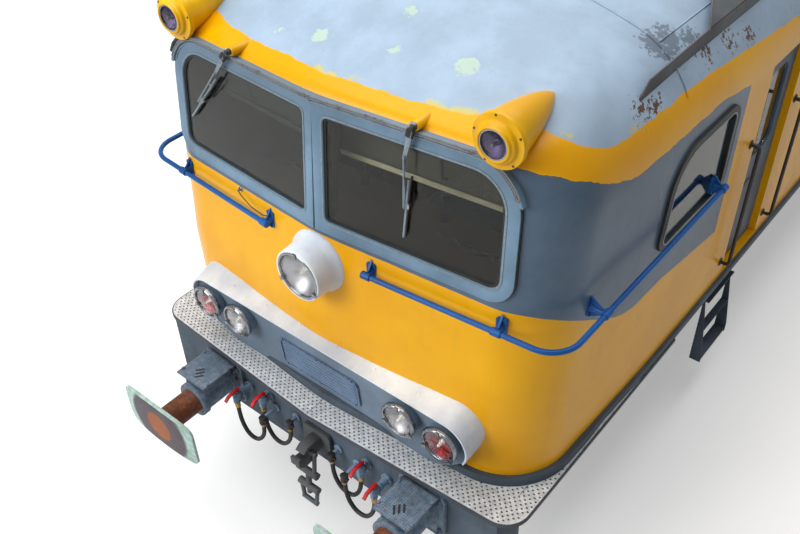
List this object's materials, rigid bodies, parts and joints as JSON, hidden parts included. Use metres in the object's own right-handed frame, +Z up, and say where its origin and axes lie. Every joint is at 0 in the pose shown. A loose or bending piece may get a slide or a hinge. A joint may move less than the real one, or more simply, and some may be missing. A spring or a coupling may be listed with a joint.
{
  "type": "electric locomotive",
  "caption": "Electric locomotive with a cab at each end, pivoting bogies, opening cab doors and folding pantographs on its roof.",
  "frame": {"origin": "on the floor under the middle of the locomotive, at the tips of the wheel flanges; the rail head would be 30 mm above it", "axes": "+X forward, to cab 1, the end in the picture; +Y to the locomotive's left; +Z up"},
  "size_m": [18.952, 3.15, 4.3789],
  "materials": {
    "body_paint": "gloss",
    "roof_paint": "satin",
    "frame_paint": "satin",
    "underframe_paint": "matte",
    "bogie_paint": "matte",
    "wheel_steel": "satin",
    "bare_steel": "satin",
    "rail_paint": "gloss",
    "hood_paint": "gloss",
    "chrome": "polished",
    "lens_glass": "gloss",
    "glazing": "gloss",
    "hose_rubber": "matte",
    "seat_cloth": "matte",
    "cab_lining": "satin"
  },
  "bodies": {
    "body": {"underframe": "underframe_paint", "door_steps": "underframe_paint", "walkways": "bare_steel", "buffers": "frame_paint", "couplings": "underframe_paint", "brake_cocks": "frame_paint", "brake_hoses": "hose_rubber", "cab_shell_1": "body_paint", "cab_shell_2": "body_paint", "side_wall_left": "body_paint", "side_wall_right": "body_paint", "roof_centre": "roof_paint", "roof_screens": "roof_paint", "roof_gear": "bare_steel", "cab_bulkheads": "cab_lining", "cab_furniture": "cab_lining", "seat_cushions": "seat_cloth", "window_frames": "frame_paint", "window_glass": "glazing", "side_louvres": "frame_paint", "lamp_shrouds": "hood_paint", "lamp_panels": "frame_paint", "lamp_bodies": "chrome", "lamp_lenses": "lens_glass", "handrails": "rail_paint", "wipers": "bare_steel", "underfloor_boxes": "underframe_paint", "machinery_block": "underframe_paint"},
    "bogie_1": {"bogie_frame_1": "bogie_paint", "bogie_gear_1": "bogie_paint", "traction_motors_1": "bogie_paint"},
    "wheelset_1": {"wheelset_1": "wheel_steel"},
    "wheelset_2": {"wheelset_2": "wheel_steel"},
    "wheelset_3": {"wheelset_3": "wheel_steel"},
    "bogie_2": {"bogie_frame_2": "bogie_paint", "bogie_gear_2": "bogie_paint", "traction_motors_2": "bogie_paint"},
    "wheelset_4": {"wheelset_4": "wheel_steel"},
    "wheelset_5": {"wheelset_5": "wheel_steel"},
    "wheelset_6": {"wheelset_6": "wheel_steel"},
    "cab_door_1_left": {"cab_door_1_left": "frame_paint", "door_glass_1_left": "glazing"},
    "cab_door_1_right": {"cab_door_1_right": "frame_paint", "door_glass_1_right": "glazing"},
    "cab_door_2_left": {"cab_door_2_left": "frame_paint", "door_glass_2_left": "glazing"},
    "cab_door_2_right": {"cab_door_2_right": "frame_paint", "door_glass_2_right": "glazing"},
    "panto_1_lower_a": {"panto_1_lower_a": "bare_steel"},
    "panto_1_lower_b": {"panto_1_lower_b": "bare_steel"},
    "panto_1_upper_a": {"panto_1_upper_a": "bare_steel"},
    "panto_1_upper_b": {"panto_1_upper_b": "bare_steel"},
    "panto_1_head": {"panto_1_head": "bare_steel"},
    "panto_2_lower_a": {"panto_2_lower_a": "bare_steel"},
    "panto_2_lower_b": {"panto_2_lower_b": "bare_steel"},
    "panto_2_upper_a": {"panto_2_upper_a": "bare_steel"},
    "panto_2_upper_b": {"panto_2_upper_b": "bare_steel"},
    "panto_2_head": {"panto_2_head": "bare_steel"}
  },
  "joints": [
    {"name": "bogie_1_turn", "type": "hinge", "parent": "body", "child": "bogie_1", "pos_m": [4.6475, 0, 1.07], "axis": [0, 0, 1], "range_deg": [-3, 3]},
    {"name": "wheelset_1_spin", "type": "hinge", "parent": "bogie_1", "child": "wheelset_1", "pos_m": [7.07, 0, 0.655], "axis": [0, 1, 0], "continuous": true},
    {"name": "wheelset_2_spin", "type": "hinge", "parent": "bogie_1", "child": "wheelset_2", "pos_m": [4.6475, 0, 0.655], "axis": [0, 1, 0], "continuous": true},
    {"name": "wheelset_3_spin", "type": "hinge", "parent": "bogie_1", "child": "wheelset_3", "pos_m": [2.225, 0, 0.655], "axis": [0, 1, 0], "continuous": true},
    {"name": "bogie_2_turn", "type": "hinge", "parent": "body", "child": "bogie_2", "pos_m": [-4.6475, 0, 1.07], "axis": [0, 0, 1], "range_deg": [-3, 3]},
    {"name": "wheelset_4_spin", "type": "hinge", "parent": "bogie_2", "child": "wheelset_4", "pos_m": [-2.225, 0, 0.655], "axis": [0, 1, 0], "continuous": true},
    {"name": "wheelset_5_spin", "type": "hinge", "parent": "bogie_2", "child": "wheelset_5", "pos_m": [-4.6475, 0, 0.655], "axis": [0, 1, 0], "continuous": true},
    {"name": "wheelset_6_spin", "type": "hinge", "parent": "bogie_2", "child": "wheelset_6", "pos_m": [-7.07, 0, 0.655], "axis": [0, 1, 0], "continuous": true},
    {"name": "cab_door_1_left_hinge", "type": "hinge", "parent": "body", "child": "cab_door_1_left", "pos_m": [5.53, 1.3947, 2.25], "axis": [0, 0, -1], "range_deg": [0, 85]},
    {"name": "cab_door_1_right_hinge", "type": "hinge", "parent": "body", "child": "cab_door_1_right", "pos_m": [5.53, -1.3947, 2.25], "axis": [0, 0, 1], "range_deg": [0, 85]},
    {"name": "cab_door_2_left_hinge", "type": "hinge", "parent": "body", "child": "cab_door_2_left", "pos_m": [-5.53, 1.3947, 2.25], "axis": [0, 0, 1], "range_deg": [0, 85]},
    {"name": "cab_door_2_right_hinge", "type": "hinge", "parent": "body", "child": "cab_door_2_right", "pos_m": [-5.53, -1.3947, 2.25], "axis": [0, 0, -1], "range_deg": [0, 85]},
    {"name": "panto_1_lift", "type": "hinge", "parent": "body", "child": "panto_1_lower_a", "pos_m": [4.85, 0, 4.0501], "axis": [0, -1, 0], "range_deg": [0, 45]},
    {"name": "panto_1_lower_b_turn", "type": "hinge", "parent": "body", "child": "panto_1_lower_b", "pos_m": [4.35, 0, 4.0501], "axis": [0, -1, 0], "range_deg": [-46, 1]},
    {"name": "panto_1_upper_a_turn", "type": "hinge", "parent": "panto_1_lower_a", "child": "panto_1_upper_a", "pos_m": [6.14505, 0, 4.1634], "axis": [0, -1, 0], "range_deg": [-86.96, 1]},
    {"name": "panto_1_upper_b_turn", "type": "hinge", "parent": "panto_1_lower_b", "child": "panto_1_upper_b", "pos_m": [3.05495, 0, 4.1634], "axis": [0, -1, 0], "range_deg": [-1, 86.96]},
    {"name": "panto_1_head_turn", "type": "hinge", "parent": "panto_1_upper_a", "child": "panto_1_head", "pos_m": [4.6, 0, 4.28714], "axis": [0, -1, 0], "range_deg": [-1, 41.96]},
    {"name": "panto_2_lift", "type": "hinge", "parent": "body", "child": "panto_2_lower_a", "pos_m": [-4.35, 0, 4.0501], "axis": [0, -1, 0], "range_deg": [0, 45]},
    {"name": "panto_2_lower_b_turn", "type": "hinge", "parent": "body", "child": "panto_2_lower_b", "pos_m": [-4.85, 0, 4.0501], "axis": [0, -1, 0], "range_deg": [-46, 1]},
    {"name": "panto_2_upper_a_turn", "type": "hinge", "parent": "panto_2_lower_a", "child": "panto_2_upper_a", "pos_m": [-3.05495, 0, 4.1634], "axis": [0, -1, 0], "range_deg": [-86.96, 1]},
    {"name": "panto_2_upper_b_turn", "type": "hinge", "parent": "panto_2_lower_b", "child": "panto_2_upper_b", "pos_m": [-6.14505, 0, 4.1634], "axis": [0, -1, 0], "range_deg": [-1, 86.96]},
    {"name": "panto_2_head_turn", "type": "hinge", "parent": "panto_2_upper_a", "child": "panto_2_head", "pos_m": [-4.6, 0, 4.28714], "axis": [0, -1, 0], "range_deg": [-1, 41.96]}
  ],
  "couplings": [
    {"joint": "panto_1_lower_b_turn", "follows": "panto_1_lift", "ratio": -1},
    {"joint": "panto_1_upper_a_turn", "follows": "panto_1_lift", "ratio": -1.9103},
    {"joint": "panto_1_upper_b_turn", "follows": "panto_1_lift", "ratio": 1.9103},
    {"joint": "panto_1_head_turn", "follows": "panto_1_lift", "ratio": 0.9103},
    {"joint": "panto_2_lower_b_turn", "follows": "panto_2_lift", "ratio": -1},
    {"joint": "panto_2_upper_a_turn", "follows": "panto_2_lift", "ratio": -1.9103},
    {"joint": "panto_2_upper_b_turn", "follows": "panto_2_lift", "ratio": 1.9103},
    {"joint": "panto_2_head_turn", "follows": "panto_2_lift", "ratio": 0.9103}
  ]
}
